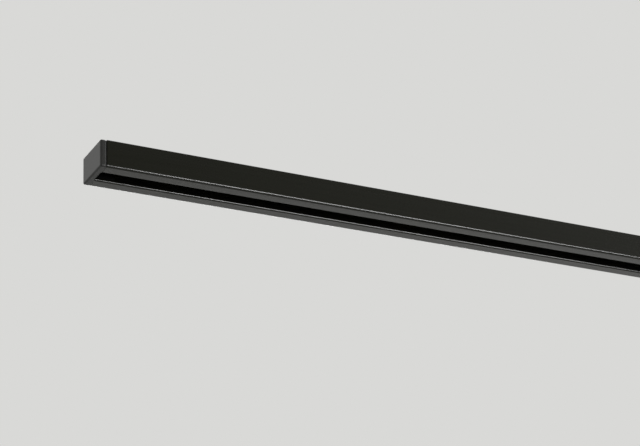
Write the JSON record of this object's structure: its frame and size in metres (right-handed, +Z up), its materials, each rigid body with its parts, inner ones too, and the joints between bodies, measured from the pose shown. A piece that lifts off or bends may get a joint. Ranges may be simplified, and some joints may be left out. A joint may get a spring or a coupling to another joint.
{
  "type": "curtain track",
  "caption": "Slim rectangular black ceiling curtain track: extruded rail with a slot below, end caps, turn clips that lock in its top channel, and nylon gliders with hook eyes.",
  "frame": {"origin": "on the ceiling plane, on the screw axis of the middle clip", "axes": "+X along the rail to its right end, +Y towards the wall behind it, +Z up into the ceiling"},
  "size_m": [1, 0.0244, 0.023],
  "materials": {
    "coated_aluminium": "satin",
    "cap_plastic": "matte",
    "clip_plastic": "satin",
    "glider_nylon": "satin"
  },
  "bodies": {
    "track": {"rail": "coated_aluminium", "end_cap_left": "cap_plastic", "end_cap_right": "cap_plastic"},
    "ceiling_clip_left": {"ceiling_clip_left": "clip_plastic"},
    "ceiling_clip_middle": {"ceiling_clip_middle": "clip_plastic"},
    "ceiling_clip_right": {"ceiling_clip_right": "clip_plastic"},
    "glider_01": {"glider_01": "glider_nylon"},
    "glider_02": {"glider_02": "glider_nylon"},
    "glider_03": {"glider_03": "glider_nylon"},
    "glider_04": {"glider_04": "glider_nylon"},
    "glider_05": {"glider_05": "glider_nylon"},
    "glider_06": {"glider_06": "glider_nylon"},
    "glider_07": {"glider_07": "glider_nylon"},
    "glider_08": {"glider_08": "glider_nylon"},
    "glider_09": {"glider_09": "glider_nylon"},
    "glider_10": {"glider_10": "glider_nylon"}
  },
  "joints": [
    {"name": "clip_left_turn", "type": "hinge", "parent": "track", "child": "ceiling_clip_left", "pos_m": [-0.433, 0, 0], "axis": [0, 0, 1], "range_deg": [0, 90]},
    {"name": "clip_middle_turn", "type": "hinge", "parent": "track", "child": "ceiling_clip_middle", "pos_m": [0, 0, 0], "axis": [0, 0, 1], "range_deg": [0, 90]},
    {"name": "clip_right_turn", "type": "hinge", "parent": "track", "child": "ceiling_clip_right", "pos_m": [0.433, 0, 0], "axis": [0, 0, 1], "range_deg": [0, 90]},
    {"name": "glider_01_slide", "type": "slide", "parent": "track", "child": "glider_01", "axis": [-1, 0, 0], "range_m": [0, 0.0858]},
    {"name": "glider_02_slide", "type": "slide", "parent": "glider_01", "child": "glider_02", "axis": [-1, 0, 0], "range_m": [0, 0.0858]},
    {"name": "glider_03_slide", "type": "slide", "parent": "glider_02", "child": "glider_03", "axis": [-1, 0, 0], "range_m": [0, 0.0858]},
    {"name": "glider_04_slide", "type": "slide", "parent": "glider_03", "child": "glider_04", "axis": [-1, 0, 0], "range_m": [0, 0.0858]},
    {"name": "glider_05_slide", "type": "slide", "parent": "glider_04", "child": "glider_05", "axis": [-1, 0, 0], "range_m": [0, 0.0858]},
    {"name": "glider_06_slide", "type": "slide", "parent": "glider_05", "child": "glider_06", "axis": [-1, 0, 0], "range_m": [0, 0.0858]},
    {"name": "glider_07_slide", "type": "slide", "parent": "glider_06", "child": "glider_07", "axis": [-1, 0, 0], "range_m": [0, 0.0858]},
    {"name": "glider_08_slide", "type": "slide", "parent": "glider_07", "child": "glider_08", "axis": [-1, 0, 0], "range_m": [0, 0.0858]},
    {"name": "glider_09_slide", "type": "slide", "parent": "glider_08", "child": "glider_09", "axis": [-1, 0, 0], "range_m": [0, 0.0858]},
    {"name": "glider_10_slide", "type": "slide", "parent": "glider_09", "child": "glider_10", "axis": [-1, 0, 0], "range_m": [0, 0.0858]}
  ]
}
